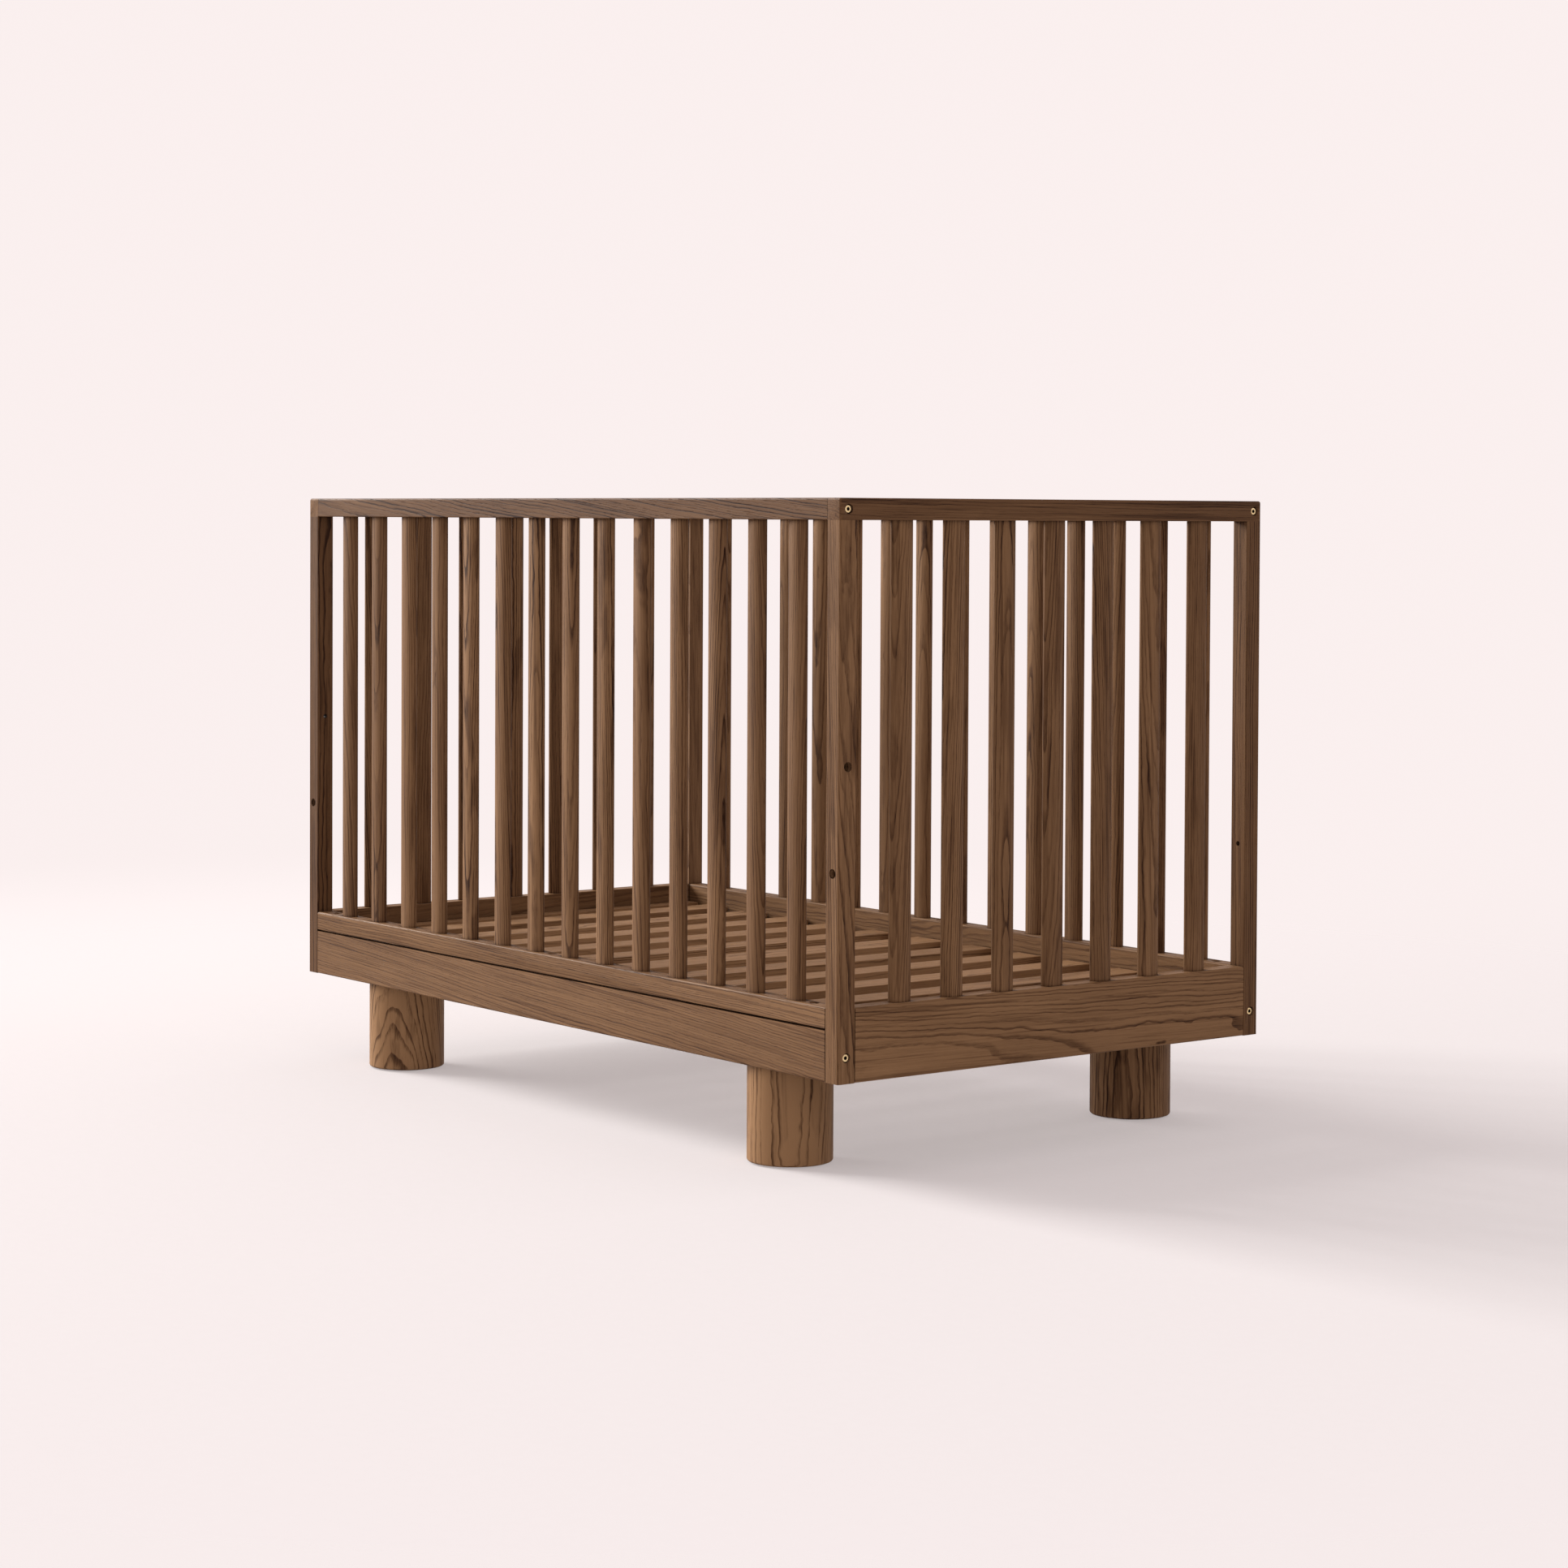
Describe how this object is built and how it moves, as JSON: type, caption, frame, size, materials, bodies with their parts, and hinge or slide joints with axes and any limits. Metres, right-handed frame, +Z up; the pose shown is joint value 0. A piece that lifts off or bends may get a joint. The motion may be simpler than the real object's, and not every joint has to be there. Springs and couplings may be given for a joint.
{
  "type": "playpen",
  "caption": "Slatted wooden playpen of cot size with square corner posts, oval spindles, bolted side panels, thick round legs and a slatted mattress base that can be raised.",
  "frame": {"origin": "middle of the outline in plan, at floor level under the felt glides", "axes": "+X along the length towards the foot end, +Y across the width towards the back side, +Z up"},
  "size_m": [1.386, 0.768, 0.902],
  "materials": {
    "stained_ash": "dark brown stain under a satin clear coat, open grain",
    "base_ash": "dark brown stain, satin",
    "plain_beech": "unfinished fluted dowel stock",
    "antique_brass": "antique brass plate, satin",
    "zinc_steel": "bright zinc plate",
    "felt": "dark brown pressed felt"
  },
  "bodies": {
    "playpen_frame": {"head_end_top_rail": "stained_ash", "head_end_bottom_rail": "stained_ash", "head_end_spindles": "stained_ash", "head_end_bearer": "stained_ash", "head_end_front_post": "stained_ash", "head_end_back_post": "stained_ash", "head_end_front_leg": "stained_ash", "head_end_back_leg": "stained_ash", "foot_end_top_rail": "stained_ash", "foot_end_bottom_rail": "stained_ash", "foot_end_spindles": "stained_ash", "foot_end_bearer": "stained_ash", "foot_end_front_post": "stained_ash", "foot_end_back_post": "stained_ash", "foot_end_front_leg": "stained_ash", "foot_end_back_leg": "stained_ash", "front_top_rail": "stained_ash", "front_bottom_rail": "stained_ash", "front_spindles": "stained_ash", "front_skirt_rail": "stained_ash", "front_ledge": "stained_ash", "back_top_rail": "stained_ash", "back_bottom_rail": "stained_ash", "back_spindles": "stained_ash", "back_skirt_rail": "stained_ash", "back_ledge": "stained_ash", "corner_bolts": "antique_brass", "skirt_bolts": "antique_brass", "side_panel_bolts": "antique_brass", "corner_barrel_nuts": "zinc_steel", "skirt_barrel_nuts": "zinc_steel", "side_panel_inserts": "zinc_steel", "leg_bolts": "zinc_steel", "leg_washers": "zinc_steel", "leg_inserts": "zinc_steel", "ledge_screws": "zinc_steel", "end_rail_dowels": "plain_beech", "post_top_dowels": "plain_beech", "bearer_dowels": "plain_beech", "leg_dowels": "plain_beech", "floor_glides": "felt"},
    "slatted_base": {"base_front_member": "base_ash", "base_back_member": "base_ash", "base_head_end_member": "base_ash", "base_foot_end_member": "base_ash", "base_slat_01": "base_ash", "base_slat_02": "base_ash", "base_slat_03": "base_ash", "base_slat_04": "base_ash", "base_slat_05": "base_ash", "base_slat_06": "base_ash", "base_slat_07": "base_ash", "base_slat_08": "base_ash", "base_slat_09": "base_ash", "base_slat_10": "base_ash", "base_slat_11": "base_ash"}
  },
  "joints": [
    {"name": "base_height", "type": "slide", "parent": "playpen_frame", "child": "slatted_base", "axis": [0, 0, 1], "range_m": [0, 0.22]}
  ]
}
